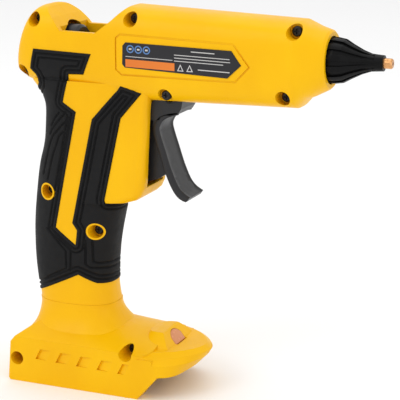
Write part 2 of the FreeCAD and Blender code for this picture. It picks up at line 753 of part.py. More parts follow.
def add_chamber():
    rear, front = "Dimensions.chamber_rear", "Dimensions.chamber_front"
    chamber = revolve("heating_chamber", [
        (8.0, "Dimensions.stick_radius + 0.3"), (8.0, 7.2), (rear, 7.2),
        (rear, "Dimensions.chamber_radius"), (front, "Dimensions.chamber_radius"), (front, 8.5),
        (70.0, 8.5), (70.0, 3.95), (60.0, 3.95), (48.0, "Dimensions.stick_radius + 0.3")])
    saddle = outline_sketch(chamber, "heater_saddle_outline", "XZ_Plane",
                            [(24, 7), (24, 12.2), (52, 12.2), (52, 7)])
    symmetric_feature(chamber, "Pad", "heater_saddle", saddle, 7.5)
    revolve("chamber_support_rear", [(18.2, 9.55), (18.2, 14.5), (21.8, 14.5), (21.8, 9.55)])
    revolve("chamber_support_front", [(66.1, 8.55), (66.1, 13.5), (69.9, 13.5), (69.9, 8.55)])


def add_heater():
    heater = doc.addObject("Part::Box", "heater_plate")
    heater.Length = 24
    heater.Width = 13
    heater.Height = 2.4
    heater.Placement = Placement(Vector(26, -6.5, AXIS_Z + 12.25), Rotation())
    heater.setExpression("Placement.Base.z", "Dimensions.axis_height + 12.25")
    SUB_PARTS.append(heater)
    clip = add_body("heater_clip")
    bent = outline_sketch(clip, "heater_clip_outline", "YZ_Plane", [
        (-8.2, 5.9), (-8.2, 15.4), (8.2, 15.4), (8.2, 5.9),
        (7.6, 5.9), (7.6, 14.7), (-7.6, 14.7), (-7.6, 5.9)])
    symmetric_feature(clip, "Pad", "heater_clip_strip", bent, 7.5)
    clip.Placement = Placement(Vector(39, 0, AXIS_Z), Rotation())
    clip.setExpression("Placement.Base.z", "Dimensions.axis_height")
    shield = axial_cylinder(12.0, 24, 52).cut(axial_cylinder(11.5, 23, 53))
    shield = shield.cut(box(20, 60, -20, 20, AXIS_Z + 4.0, AXIS_Z + 20))
    add_feature("heat_shield", shield)


SPANNER_HALF_FLAT = 5.95


def add_nozzle():
    nozzle = revolve("nozzle", [
        (61.0, 1.6), (61.0, 3.9), (70.3, 3.9), (70.3, 6.6), (77.0, 6.6), (78.2, 6.0), (91.0, 3.3),
        (97.0, 2.75), ("Dimensions.nozzle_end - 0.7", 2.75), ("Dimensions.nozzle_end", 2.2),
        ("Dimensions.nozzle_end", 0.9), (90.0, 0.9), (86.0, 2.3), (64.0, 2.3)])
    for number in range(6):
        angle = math.radians(60 * number)
        flat = nozzle.newObject("PartDesign::SubtractiveBox", f"spanner_flat_{number}")
        flat.Length = 6.5
        flat.Width = 10
        flat.Height = 3
        across = -5 * math.cos(angle) - SPANNER_HALF_FLAT * math.sin(angle)
        height = -5 * math.sin(angle) + SPANNER_HALF_FLAT * math.cos(angle)
        flat.Placement = Placement(Vector(70.5, across, height),
                                   Rotation(Vector(1, 0, 0), 60 * number))
        nozzle.Tip = flat
    ball = doc.addObject("Part::Sphere", "nozzle_valve_ball")
    ball.Radius = 1.85
    ball.Placement = Placement(Vector(86.5, 0, AXIS_Z), Rotation())
    ball.setExpression("Placement.Base.z", "Dimensions.axis_height")
    SUB_PARTS.append(ball)
    add_feature("nozzle_valve_spring", coil(1.65, 0.25, 2.0, 17.5, Vector(66.6, 0, AXIS_Z),
                                            Rotation(Vector(0, 1, 0), 90)))


def add_boot():
    outer = [(72.8, "Dimensions.boot_radius"), (78.4, "Dimensions.boot_radius"), (82.6, 11.5),
             (86.6, 9.2), (92.2, 6.4), (97.0, 4.7), (103.6, 4.2)]
    inner = [(103.6, 2.85), (97.0, 2.85), (91.0, 3.4), (78.4, 6.15), (77.2, 7.4), (70.6, 7.4)]
    flange = [(70.6, 13.2), (72.6, 13.2), (72.8, 13.0)]
    boot = revolve("nozzle_boot", flange + outer + inner)
    flute = boot.newObject("PartDesign::Groove", "boot_flute")
    flute.Profile = outline_sketch(boot, "boot_flute_outline", "XZ_Plane", [
        (75.4, 11.2), (78.4, 11.2), (82.6, 10.4), (86.6, 8.1), (92.2, 5.5), (99.0, 4.1),
        (99.0, 14.0), (75.4, 14.0)])
    flute.ReferenceAxis = (flute.Profile[0], ["H_Axis"])
    flute.Angle = 14
    flute.Midplane = True
    doc.recompute()
    flutes = boot.newObject("PartDesign::PolarPattern", "boot_flutes")
    flutes.Originals = [flute]
    flutes.Axis = (flute.Profile[0], ["H_Axis"])
    flutes.Angle = 360
    flutes.Occurrences = 12
    boot.Tip = flutes


def add_sensors():
    sensor = doc.addObject("Part::Cylinder", "thermistor")
    sensor.Radius = 1.4
    sensor.Height = 7
    sensor.Placement = Placement(Vector(53.6, 0, AXIS_Z - 10.95), Rotation(Vector(0, 1, 0), 90))
    sensor.setExpression("Placement.Base.z",
                         "Dimensions.axis_height - Dimensions.chamber_radius - 1.45")
    SUB_PARTS.append(sensor)
    fuse = doc.addObject("Part::Cylinder", "thermal_fuse")
    fuse.Radius = 2
    fuse.Height = 9
    fuse.Placement = Placement(Vector(54.5, 11.55, AXIS_Z), Rotation(Vector(0, 1, 0), 90))
    fuse.setExpression("Placement.Base.z", "Dimensions.axis_height")
    fuse.setExpression("Placement.Base.y", "Dimensions.chamber_radius + 2.05")
    SUB_PARTS.append(fuse)


# ---------------------------------------------------------------- feed mechanism
TRUNNION_X = -16.66                 # carriage pins at rest, on the stick axis
TRUNNION_RADIUS = 1.8
CLAMP_PIN_X = -18.5
CLAMP_PIN_Z = 206.8


def add_carriage():
    carriage = pad_across("feed_carriage", [(-26, 186.8), (-12, 186.8), (-12, 209.4), (-26, 209.4)],
                          "Dimensions.carriage_half_width", "block")
    tongue = outline_sketch(carriage, "tongue_outline", "XZ_Plane",
                            [(-26, 203), (-12, 203), (-12, 206), (-26, 206)])
    symmetric_feature(carriage, "Pad", "guide_tongues", tongue, 13.0)
    pins = circle_sketch(carriage, "trunnion_circle", "XZ_Plane", TRUNNION_X, AXIS_Z,
                         TRUNNION_RADIUS)
    symmetric_feature(carriage, "Pad", "trunnions", pins, 10.6)
    bore = circle_sketch(carriage, "stick_bore_circle", "YZ_Plane", 0, AXIS_Z,
                         "Dimensions.stick_radius + 0.6")
    symmetric_feature(carriage, "Pocket", "stick_bore", bore, 60)
    slot = outline_sketch(carriage, "clamp_slot_outline", "XZ_Plane",
                          [(-27, 199.6), (-11, 199.6), (-11, 212), (-27, 212)])
    symmetric_feature(carriage, "Pocket", "clamp_slot", slot, 3.3)
    hole = circle_sketch(carriage, "clamp_pin_hole_circle", "XZ_Plane", CLAMP_PIN_X, CLAMP_PIN_Z,
                         1.0)
    symmetric_feature(carriage, "Pocket", "clamp_pin_hole", hole, 7.0)


def add_clamp():
    clamp = pad_across("stick_clamp", [
        (-22.0, 205.4), (-22.0, 208.6), (-15.0, 208.6), (-13.6, 206.5), (-13.9, 201.4),
        (-15.2, 201.4), (-17.0, 204.8)], 3.0)
    hole = circle_sketch(clamp, "clamp_pivot_circle", "XZ_Plane", CLAMP_PIN_X, CLAMP_PIN_Z,
                         "Dimensions.running_fit + 1.0")
    symmetric_feature(clamp, "Pocket", "clamp_pivot", hole, 5)
    pad_across("clamp_spring", [(-26.5, 196.0), (-26.05, 196.0), (-26.05, 207.6), (-22.5, 208.0),
                                (-22.5, 208.5), (-26.5, 208.1)], 2.0)
    pin = doc.addObject("Part::Cylinder", "clamp_pin")
    pin.Radius = 1.0
    pin.Height = 14.0
    pin.Placement = Placement(Vector(CLAMP_PIN_X, 7.0, CLAMP_PIN_Z),
                              Rotation(Vector(1, 0, 0), 90))
    SUB_PARTS.append(pin)


TRIGGER_WEB = [(-27.6, 158.5), (-33.0, 157.5), (-34.4, 140.0), (-33.4, 121.6), (-30.3, 120.6),
               (-22.1, 123.2), (-16.6, 126.8), (-19.6, 137.6), (-22.7, 147.6), (-22.9, 155.0)]
TRIGGER_FRONT = [(-20.0, 157.3), (-20.8, 153.8), (-20.0, 148.7), (-16.8, 139.0), (-13.5, 129.3),
                 (-9.7, 120.9), (-5.2, 116.0), (-2.2, 114.4), (-3.5, 112.6)]
TRIGGER_BACK = [(-5.9, 112.5), (-8.6, 114.2), (-12.6, 119.4), (-16.6, 128.0), (-19.8, 138.0),
                (-23.1, 148.0), (-23.8, 153.8), (-23.2, 158.4)]
TRIGGER_HEAD = [(-23.6, 156.6), (-26.9, 158.2), (-27.2, 162.4), (-25.0, 166.0), (-21.4, 170.0),
                (-20.6, 176.0), (-16.5, 180.0), (-10.5, 180.0), (-6.6, 176.0), (-5.8, 169.0),
                (-6.8, 164.2), (-8.4, 161.6), (-10.8, 160.2), (-16.0, 160.2), (-19.0, 159.0),
                (-20.0, 157.3)]
ARM_LEAN = math.radians(8)
ARM_TIP = 25.4
SLEEVE_THICKNESS = 0.65
SPRING_RECESS_RADIUS = 6.4
SPRING_RECESS_FLOOR = 7.5           # the spring lies between here and the left shoulder


def along_arm(radial, across):
    """Point of the trigger arm, by distance from the pivot and across the arm."""
    x = PIVOT_X - radial * math.sin(ARM_LEAN) + across * math.cos(ARM_LEAN)
    z = PIVOT_Z + radial * math.cos(ARM_LEAN) + across * math.sin(ARM_LEAN)
    return (round(x, 3), round(z, 3))


def add_trigger():
    trigger = pad_across("trigger", TRIGGER_HEAD, "Dimensions.trigger_half_width", "head")
    web = outline_sketch(trigger, "web_outline", "XZ_Plane", TRIGGER_WEB)
    symmetric_feature(trigger, "Pad", "web", web, 7.0)
    flange = outline_sketch(trigger, "finger_flange_outline", "XZ_Plane",
                            TRIGGER_FRONT + TRIGGER_BACK)
    symmetric_feature(trigger, "Pad", "finger_flange", flange, 10.0)
    arms = outline_sketch(trigger, "arms_outline", "XZ_Plane", [
        along_arm(4, -4.5), along_arm(4, 4.5), along_arm(ARM_TIP, 4.5), along_arm(ARM_TIP, -4.5)])
    symmetric_feature(trigger, "Pad", "arms", arms, 10.5)
    gap = outline_sketch(trigger, "arm_gap_outline", "XZ_Plane",
                         [(-40, 180.2), (10, 180.2), (10, 204), (-40, 204)])
    symmetric_feature(trigger, "Pocket", "arm_gap", gap, 8.1)
    slots = outline_sketch(trigger, "trunnion_slot_outline", "XZ_Plane", [
        along_arm(19.6, -2.15), along_arm(19.6, 2.15), along_arm(28, 2.15), along_arm(28, -2.15)])
    symmetric_feature(trigger, "Pocket", "trunnion_slots", slots, 14)
    bore = circle_sketch(trigger, "pivot_bore_circle", "XZ_Plane", PIVOT_X, PIVOT_Z,
                         "Dimensions.pivot_radius + 0.65 + Dimensions.running_fit")
    symmetric_feature(trigger, "Pocket", "pivot_bore", bore, 14)
    recess = trigger.newObject("PartDesign::SubtractiveCylinder", "spring_recess")
    recess.Radius = SPRING_RECESS_RADIUS
    recess.Height = 4.0
    recess.Placement = Placement(Vector(PIVOT_X, SPRING_RECESS_FLOOR + 4.0, PIVOT_Z),
                                 Rotation(Vector(1, 0, 0), 90))
    trigger.Tip = recess


def add_pivot_sleeve():
    radius = size("pivot_radius")
    outer = cross_cylinder(PIVOT_X, PIVOT_Z, radius + SLEEVE_THICKNESS, -10.4,
                           SPRING_RECESS_FLOOR - 0.1)
    add_feature("pivot_sleeve", outer.cut(cross_cylinder(PIVOT_X, PIVOT_Z, radius, -11, 11)))


# ---------------------------------------------------------------- electrics
def add_board():
    board = doc.addObject("Part::Box", "control_board")
    board.Length = 46
    board.Width = 38
    board.Height = 1.6
    board.Placement = Placement(Vector(-89, -19, BOARD_Z), Rotation())
    SUB_PARTS.append(board)
    top = BOARD_Z + 1.6
    items = [
        Part.makeCylinder(4.0, 6.5, Vector(-82, 0, top)),
        box(-76, -67, -5, 5, top, top + 2.4),
        box(-66, -60, -8, 8, top, top + 5.0),
        box(-57, -49, -14, -4, top, top + 1.2),
        box(-56, -50, 4, 12, top, top + 1.6),
        box(-47.5, -45.5, -6, 6, top, top + 3.0),
    ]
    add_feature("board_components", Part.makeCompound(items))


def add_terminals():
    pad_across("terminal_block", [(-95.9, 5.4), (-88.0, 5.4), (-86.0, 7.4), (-86.0, 16.9),
                                  (-95.9, 16.9)], 19.0)
    blades = [box(-85.95, -72.0, y - 0.4, y + 0.4, 8.5, 14.5) for y in (-13.5, -4.5, 4.5, 13.5)]
    blades = [blade.makeChamfer(0.25, [edge for edge in blade.Edges
                                       if abs(edge.BoundBox.Center.x + 72.0) < 0.01
                                       and edge.BoundBox.ZLength > 3]) for blade in blades]
    add_feature("terminal_blades", Part.makeCompound(blades))
    leads = [Part.makeCylinder(1.3, BOARD_Z - 16.95, Vector(BATTERY_LEAD_X, side * 8, 16.95))
             for side in (-1, 1)]
    add_feature("battery_leads", Part.makeCompound(leads))


HEATER_LEAD_ROUTE = [
    (-70, 11.8, 22.85), (-71, 11.9, 60), (-69, 12.4, 105), (-62, 13.0, 150), (-54, 13.4, 168),
    (-44, 14.0, 177.5), (-30, 14.8, 181), (-8, 15.3, 185.2), (18, 16.1, 187.8),
    (26.6, 13.6, 199), (27.5, 7.0, 208.2)]
SENSOR_LEAD_ROUTE = [
    (-66, 9.5, 22.85), (-67, 10.6, 60), (-65, 12.0, 105), (-57.5, 13.2, 150), (-49.5, 13.5, 167),
    (-40, 13.9, 175.2), (-28, 14.5, 178.8), (-6, 15.0, 181.2), (20, 15.2, 184.4),
    (40, 13.2, 184.0), (49, 8.5, 181.9), (54.5, 3.6, 182.6), (58, 2.5, 183.4)]


def add_leads():
    add_feature("heater_lead_left", lead(1.1, HEATER_LEAD_ROUTE, 1))
    add_feature("heater_lead_right", lead(1.1, HEATER_LEAD_ROUTE, -1))
    add_feature("sensor_lead", lead(0.6, SENSOR_LEAD_ROUTE, -1))


def add_button():
    cap = Part.Face(button_wire(0.0)).extrude(Vector(0, 0, 3.2))
    cap.translate(Vector(0, 0, -3.2))
    top_edges = [edge for edge in cap.Edges if abs(edge.BoundBox.ZMin) < 0.01
                 and edge.BoundBox.ZLength < 0.01]
    cap = cap.makeFillet(0.5, top_edges)
    flange = Part.Face(button_wire(0.9)).extrude(Vector(0, 0, 0.8))
    flange.translate(Vector(0, 0, -3.9))
    stem = Part.makeCylinder(1.8, 0.6, Vector(0, 0, -4.2))
    button = cap.fuse([flange, stem]).removeSplitter()
    place_in_button_frame("power_button", button)
    place_in_button_frame("switch_board", Part.makeBox(10, 12, 1.0, Vector(-5, -6, -9.2)))
    body = Part.makeBox(6, 6, 2.6, Vector(-3, -3, -8.2))
    plunger = Part.makeCylinder(1.5, 0.5, Vector(0, 0, -5.7))
    place_in_button_frame("tact_switch", body.fuse(plunger))
    lamp = Part.makeCylinder(1.1, 2.0, Vector(0, 4.5, -8.2))
    dome = Part.makeSphere(1.1, Vector(0, 4.5, -6.2))
    place_in_button_frame("indicator_led", lamp.fuse(dome).removeSplitter())


def place_in_button_frame(label, shape):
    shape.Placement = BUTTON_PLACEMENT
    add_feature(label, shape)


def add_trigger_spring():
    """Winding of the torsion spring, in the recess on the left of the trigger."""
    winding = coil(5.5, 0.3, 1.0, 2.0, Vector(PIVOT_X, 10.1, PIVOT_Z),
                   Rotation(Vector(1, 0, 0), 90))
    add_feature("trigger_spring", winding)


# ---------------------------------------------------------------- build and write
def build_all():
    add_collar()
    add_inlet_sleeve()
    add_chamber()
    add_heater()
    add_nozzle()
    add_boot()
    add_sensors()
    add_carriage()
    add_clamp()
    add_trigger()
    add_pivot_sleeve()
    add_trigger_spring()
    add_board()
    add_terminals()
    add_leads()
    add_button()
    add_housing_group()
    add_screws()
    doc.recompute()


def write_steps():
    for item in doc.Objects:
        if "Invalid" in item.State or "Error" in item.State:
            raise RuntimeError(f"{item.Label} did not recompute")
    for item in SUB_PARTS:
        if item.Shape.isNull() or not item.Shape.isValid():
            raise RuntimeError(f"{item.Label} has no valid shape")
        item.Shape.exportStep(f"parts/{item.Label}.step")


build_all()
write_steps()
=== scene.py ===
"""Looks of a cordless glue gun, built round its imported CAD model.

Metres, +X forward towards the nozzle, +Z up, -Y the right side, which the camera sees.
"""
import math

import bmesh
import bpy
import numpy
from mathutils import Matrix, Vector


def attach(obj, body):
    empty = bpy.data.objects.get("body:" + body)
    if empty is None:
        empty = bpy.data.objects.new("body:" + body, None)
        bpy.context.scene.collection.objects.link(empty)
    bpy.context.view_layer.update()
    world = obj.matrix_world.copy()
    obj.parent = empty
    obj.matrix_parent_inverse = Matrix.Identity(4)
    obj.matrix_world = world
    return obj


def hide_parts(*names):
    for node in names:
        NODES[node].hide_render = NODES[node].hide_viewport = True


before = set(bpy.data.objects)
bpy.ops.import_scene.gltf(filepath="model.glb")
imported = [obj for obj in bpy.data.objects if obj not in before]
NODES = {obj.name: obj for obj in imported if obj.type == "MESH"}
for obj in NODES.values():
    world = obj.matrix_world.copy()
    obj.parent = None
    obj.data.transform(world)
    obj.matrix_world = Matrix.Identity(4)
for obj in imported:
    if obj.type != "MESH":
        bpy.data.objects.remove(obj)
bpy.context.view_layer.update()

MM = 0.001


# ---------------------------------------------------------------- colours
def srgb(red, green, blue):
    """Scene-linear colour from the 0-255 values that a screen shows."""
    def linear(value):
        value /= 255
        return value / 12.92 if value <= 0.04045 else ((value + 0.055) / 1.055) ** 2.4
    return (linear(red), linear(green), linear(blue), 1.0)


# ---------------------------------------------------------------- material helpers
FLOW_SCALE = 28                     # mottling of a moulding, in cycles per metre
FLOW_STRETCH = (1, 1, 0.6)
SHEEN_SCALE = 260
TARNISH_SCALE = 420
GRIP_GRAIN = 2300                   # fine texture of the soft grip
GRIP_RELIEF = 0.05 * MM
BEVEL_SAMPLES = 4
GROOVE_MARK = "groove"              # vertex attribute: 1 on the floor of a groove


class Surface:
    """A node material under construction, with its pattern in the frame's own metres."""

    def __init__(self, name, roughness, metallic=0.0, specular=0.5):
        self.material = bpy.data.materials.new(name)
        self.material.use_nodes = True
        self.nodes = self.material.node_tree.nodes
        self.links = self.material.node_tree.links
        self.shader = self.nodes["Principled BSDF"]
        self.shader.inputs["Metallic"].default_value = metallic
        self.shader.inputs["Roughness"].default_value = roughness
        self.shader.inputs["Specular IOR Level"].default_value = specular
        self.place = self.nodes.new("ShaderNodeTexCoord").outputs["Object"]

    def link(self, source, target):
        self.links.new(source, target)

    def noise(self, scale, detail=3.0, stretch=None):
        """Fractal noise between 0 and 1; scale is in cycles per metre."""
        node = self.nodes.new("ShaderNodeTexNoise")
        node.inputs["Scale"].default_value = scale
        node.inputs["Detail"].default_value = detail
        place = self.place
        if stretch:
            mapping = self.nodes.new("ShaderNodeMapping")
            mapping.inputs["Scale"].default_value = stretch
            self.link(place, mapping.inputs["Vector"])
            place = mapping.outputs["Vector"]
        self.link(place, node.inputs["Vector"])
        return node.outputs["Fac"]

    def spread(self, value, low, high, out_low=0.0, out_high=1.0):
        """Maps a value from one range to another, clamped."""
        node = self.nodes.new("ShaderNodeMapRange")
        node.inputs["From Min"].default_value = low
        node.inputs["From Max"].default_value = high
        node.inputs["To Min"].default_value = out_low
        node.inputs["To Max"].default_value = out_high
        self.link(value, node.inputs["Value"])
        return node.outputs["Result"]

    def mix(self, factor, first, second):
        """Colour between two colours or two sockets."""
        node = self.nodes.new("ShaderNodeMix")
        node.data_type = "RGBA"
        self.link(factor, node.inputs["Factor"])
        for socket, colour in ((node.inputs[6], first), (node.inputs[7], second)):
            if isinstance(colour, tuple):
                socket.default_value = colour
            else:
                self.link(colour, socket)
        return node.outputs[2]

    def attribute(self, name):
        node = self.nodes.new("ShaderNodeAttribute")
        node.attribute_name = name
        return node.outputs["Fac"]

    def colour(self, socket):
        self.link(socket, self.shader.inputs["Base Color"])

    def roughness(self, socket):
        self.link(socket, self.shader.inputs["Roughness"])

    def relief(self, height, distance, strength=1.0, edge=0.0):
        """Fine surface texture; edge is the radius that sharp moulded edges are softened to."""
        bump = self.nodes.new("ShaderNodeBump")
        bump.inputs["Strength"].default_value = strength
        bump.inputs["Distance"].default_value = distance
        self.link(height, bump.inputs["Height"])
        if edge:
            bevel = self.nodes.new("ShaderNodeBevel")
            bevel.samples = BEVEL_SAMPLES
            bevel.inputs["Radius"].default_value = edge
            self.link(bevel.outputs["Normal"], bump.inputs["Normal"])
        self.link(bump.outputs["Normal"], self.shader.inputs["Normal"])


def moulded_base(name, base, shade, roughness, specular):
    """Surface with the mottling of moulded plastic, and its colour to lay more over."""
    surface = Surface(name, roughness, specular=specular)
    flow = surface.spread(surface.noise(FLOW_SCALE, 4, FLOW_STRETCH), 0.35, 0.65)
    colour = surface.mix(flow, base, shade)
    sheen = surface.noise(SHEEN_SCALE, 4)
    surface.roughness(surface.spread(sheen, 0.3, 0.7, roughness - 0.05, roughness + 0.06))
    return surface, colour


def moulded(name, base, shade, roughness, grain=1500, relief=0.02 * MM, edge=0.35 * MM,
            specular=0.5):
    """Injection-moulded plastic: faint flow mottling, fine spark texture, soft edges."""
    surface, colour = moulded_base(name, base, shade, roughness, specular)
    surface.colour(colour)
    surface.relief(surface.noise(grain, 2), relief, 0.35, edge)
    return surface.material


def grooved(name, base, shade, painted_shade, roughness):
    """Soft grip: like the moulded plastics, with painted shade that makes the floor of its grooves
    duller and darker.
    """
    surface, colour = moulded_base(name, base, shade, roughness, specular=0.18)
    # painted shade: the groove floors are mixed towards the last, darker colour
    deep = surface.spread(surface.attribute(GROOVE_MARK), 0.15, 0.9)
    surface.colour(surface.mix(deep, colour, painted_shade))
    surface.relief(surface.noise(GRIP_GRAIN, 2), GRIP_RELIEF, 0.35)
    return surface.material


def metal(name, base, shade, roughness, grain=900):
    """Turned or plated metal: fine tool marks and slight tarnish."""
    surface = Surface(name, roughness, metallic=1.0)
    tarnish = surface.spread(surface.noise(TARNISH_SCALE, 4), 0.35, 0.7)
    surface.colour(surface.mix(tarnish, base, shade))
    marks = surface.noise(grain, 3)
    surface.roughness(surface.spread(marks, 0.3, 0.7, roughness - 0.08, roughness + 0.1))
    surface.relief(surface.noise(grain, 2), 0.01 * MM, 0.3, 0.15 * MM)
    return surface.material


YELLOW = moulded("yellow_abs", srgb(243, 187, 0), srgb(238, 178, 0), 0.38, specular=0.16)
GRIP = moulded("soft_grip", srgb(37, 37, 38), srgb(30, 30, 31), 0.6, GRIP_GRAIN, GRIP_RELIEF,
               specular=0.22)
# the last colour is painted shade for the groove floors
GRIP_GROOVED = grooved("soft_grip_grooved", srgb(22, 22, 23), srgb(16, 16, 17), srgb(4, 4, 5), 0.6)
DARK = moulded("trigger_nylon", srgb(34, 34, 36), srgb(27, 27, 29), 0.36, 1800, specular=0.35)
BOOT = moulded("nozzle_silicone", srgb(5, 5, 6), srgb(3, 3, 3), 0.36, 1500, 0.015 * MM,
               specular=0.14)
LABEL = moulded("label_film", srgb(40, 39, 42), srgb(33, 32, 35), 0.35, 700, 0.004 * MM,
                specular=0.3)
INK_BLUE = moulded("print_blue", srgb(86, 128, 182), srgb(78, 118, 172), 0.4, 700, 0.004 * MM)
INK_ORANGE = moulded("print_orange", srgb(226, 122, 26), srgb(216, 112, 20), 0.4, 700, 0.004 * MM)
INK_PALE = moulded("print_pale", srgb(206, 204, 202), srgb(190, 188, 186), 0.45, 700, 0.004 * MM)
BRASS = metal("brass", srgb(226, 172, 118), srgb(196, 138, 86), 0.28)
STEEL = metal("dark_steel", srgb(60, 58, 58), srgb(38, 36, 36), 0.38)
SPRING = metal("spring_steel", srgb(172, 172, 176), srgb(140, 140, 146), 0.3)
ALUMINIUM = metal("cast_aluminium", srgb(186, 188, 190), srgb(158, 160, 163), 0.42)
BUTTON = moulded("button_lens", srgb(218, 146, 92), srgb(204, 128, 78), 0.25, 900, 0.005 * MM)
BOARD = moulded("circuit_board", srgb(24, 92, 58), srgb(20, 80, 50), 0.4, 900, 0.01 * MM)
BLACK_PART = moulded("black_part", srgb(34, 34, 36), srgb(27, 27, 29), 0.5)
RED_LEAD = moulded("lead_insulation", srgb(176, 34, 26), srgb(156, 28, 22), 0.45, 900, 0.01 * MM)
SILICONE = moulded("inlet_silicone", srgb(150, 60, 44), srgb(132, 50, 38), 0.55, 900, 0.01 * MM)

FINISHES = {
    YELLOW: ["housing_right", "housing_left"],
    GRIP: ["grip_overmould_right", "grip_overmould_left"],
    DARK: ["trigger", "rear_guide_collar"],
    BOOT: ["nozzle_boot"],
    LABEL: ["label_plate_right", "label_plate_left"],
    BRASS: ["nozzle", "terminal_blades"],
    STEEL: ["housing_screws", "clamp_pin", "pivot_sleeve", "nozzle_valve_ball"],
    SPRING: ["clamp_spring", "trigger_spring", "nozzle_valve_spring", "heater_clip", "heat_shield",
             "sleeve_clamp_ring"],
    ALUMINIUM: ["heating_chamber", "heater_plate"],
    BUTTON: ["power_button", "indicator_led"],
    BOARD: ["control_board", "switch_board"],
    RED_LEAD: ["heater_lead_left", "heater_lead_right", "battery_leads", "sensor_lead"],
    SILICONE: ["inlet_sleeve"],
}


def give_finishes():
    """One material for each CAD node; inner parts that aren't listed are black."""
    chosen = {name: material for material, names in FINISHES.items() for name in names}
    for name, node in NODES.items():
        node.data.materials.clear()
        node.data.materials.append(chosen.get(name, BLACK_PART))


def smooth_cad_faces():
    """Curved CAD faces shade smoothly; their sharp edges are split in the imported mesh."""
    for node in NODES.values():
        node.data.polygons.foreach_set("use_smooth", [True] * len(node.data.polygons))


# ---------------------------------------------------------------- helpers: pieces
def add_piece(name, data, material, body):
    """Puts a finished mesh into the scene as a piece that rides on a body."""
    data.materials.append(material)
    item = bpy.data.objects.new(name, data)
    bpy.context.scene.collection.objects.link(item)
    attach(item, body)
    return item


def shade_smooth(data, sharp_angle):
    """Smooth shading, with the edges sharper than this many degrees kept crisp."""
    data.polygons.foreach_set("use_smooth", [True] * len(data.polygons))
    data.set_sharp_from_angle(angle=math.radians(sharp_angle))


# ---------------------------------------------------------------- grooves of the soft grip
# All outlines are (x, z) in millimetres on the side of the tool.
GRIP_EDGE = [
    (-94.8, 182.6), (-91.7, 194.1), (-55.9, 193.1), (-61.1, 181.3), (-70.4, 180.9),
    (-75.0, 164.8), (-66.7, 159.9), (-82.0, 91.5), (-69.6, 82.2), (-68.4, 90.9), (-71.2, 95.1),
    (-56.9, 156.4), (-39.1, 176.1), (-26.9, 172.7), (-39.7, 158.0), (-50.4, 110.6),
    (-49.8, 108.6), (-44.0, 107.6), (-18.0, 107.6), (-18.0, 66.0), (-42.7, 60.6),
    (-49.5, 58.6), (-58.2, 59.6), (-68.5, 64.5), (-91.2, 53.6), (-127, 36.5), (-127, 168.4),
    (-96.0, 168.4), (-91.3, 174.5), (-92.3, 179.5)]
EDGE_STEPS = (2.3, 4.6)             # grooves that follow the edge of the grip, this far in
GRIP_LINES = [
    [(-77.5, 158.8), (-80.5, 155.4), (-83.4, 150.8)],
    [(-72.7, 159.4), (-78.1, 154.1), (-83.1, 148.6), (-84.6, 145.6)],
    [(-69.6, 157.3), (-76.6, 150.9), (-82.4, 145.0), (-84.5, 140.8), (-86.1, 136.3), (-90, 121.8)],
    [(-75, 148), (-78.3, 144.8), (-79.6, 141.2), (-83.1, 132.5), (-86.8, 118.8)],
    [(-71.5, 154.2), (-72.2, 148.7), (-74.2, 140.6), (-77.1, 128.6), (-79.9, 116.5)],
    [(-87.8, 90.1), (-75.8, 78.2), (-75.6, 67.7), (-88.4, 60.9)],
    [(-85.6, 91.2), (-72.6, 79.9), (-73.1, 66.6)],
    [(-63.6, 85.4), (-64, 70.9), (-61.3, 68.9), (-52.1, 68.2)],
    [(-59.8, 84.9), (-59.8, 72.7), (-57.4, 71.6), (-46.8, 71.1)],
]
GROOVE_DEPTH = 0.75
GROOVE_HALF_WIDTH = 0.6
GROOVE_FLAT = 1.4                   # how wide the flat floor is, against its sloping sides
EDGE_ROUNDING = 0.55
GRIP_MESH_STEP = 0.55 * MM
GRIP_MESH_LIMIT = 150000            # faces
GRIP_MESH_PASSES = 7
MERGE_DISTANCE = 0.001 * MM
GRIP_SHARP = 40                     # degrees
HANDLE_AXIS_X = -0.070              # middle of the handle
HANDLE_TOP_Z = 0.168                # above this the skin wraps round the stick axis instead
STICK_AXIS_Z = 0.195
OUTWARD = 0.3                       # least agreement of an outer face with its way out
NECK_LOW = 0.172
NECK_HIGH = 0.184
NECK_PASSES = 25


def distance_to(points, start, end):
    """Distance from each (x, z) point to one straight line between two points."""
    start = numpy.array(start)
    run = numpy.array(end) - start
    along = numpy.clip(((points - start) @ run) / (run @ run), 0, 1)
    return numpy.linalg.norm(points - start - along[:, None] * run, axis=1)


def nearest(points, path, closed=False):
    """Distance from each (x, z) point to the nearest stretch of a path."""
    pairs = list(zip(path, path[1:] + (path[:1] if closed else [])))
    return numpy.min([distance_to(points, start, end) for start, end in pairs], axis=0)


def outer_faces(mesh):
    """Faces of the grip skin that look away from the tool."""
    chosen = []
    for face in mesh.faces:
        middle = face.calc_center_median()
        on_hump = middle.z > HANDLE_TOP_Z
        axis = Vector((middle.x if on_hump else HANDLE_AXIS_X, 0,
                       STICK_AXIS_Z if on_hump else middle.z))
        if face.normal.dot((middle - axis).normalized()) > OUTWARD:
            chosen.append(face)
    return chosen


def refine(mesh, step):
    """Splits every edge of the outer faces that is longer than the step.

    The edges stay in the mesh's own order, which a set loses, so every run splits alike.
    """
    for _ in range(GRIP_MESH_PASSES):
        long_edges = dict.fromkeys(edge for face in outer_faces(mesh) for edge in face.edges
                                   if edge.calc_length() > step)
        if not long_edges or len(mesh.faces) > GRIP_MESH_LIMIT:
            break
        bmesh.ops.subdivide_edges(mesh, edges=list(long_edges), cuts=1)
        bmesh.ops.triangulate(mesh, faces=[face for face in mesh.faces if len(face.verts) > 4])
        mesh.normal_update()


def ease_neck(mesh, faces):
    """Smooths away the crease where the handle runs into the barrel."""
    skin = dict.fromkeys(vertex for face in faces for vertex in face.verts)
    near = [vertex for vertex in skin
            if NECK_LOW < vertex.co.z < NECK_HIGH
            and all(edge.other_vert(vertex) in skin for edge in vertex.link_edges)]
    for _ in range(NECK_PASSES):
        bmesh.ops.smooth_vert(mesh, verts=near, factor=0.5, use_axis_x=True, use_axis_y=True,
                              use_axis_z=True)
    mesh.normal_update()


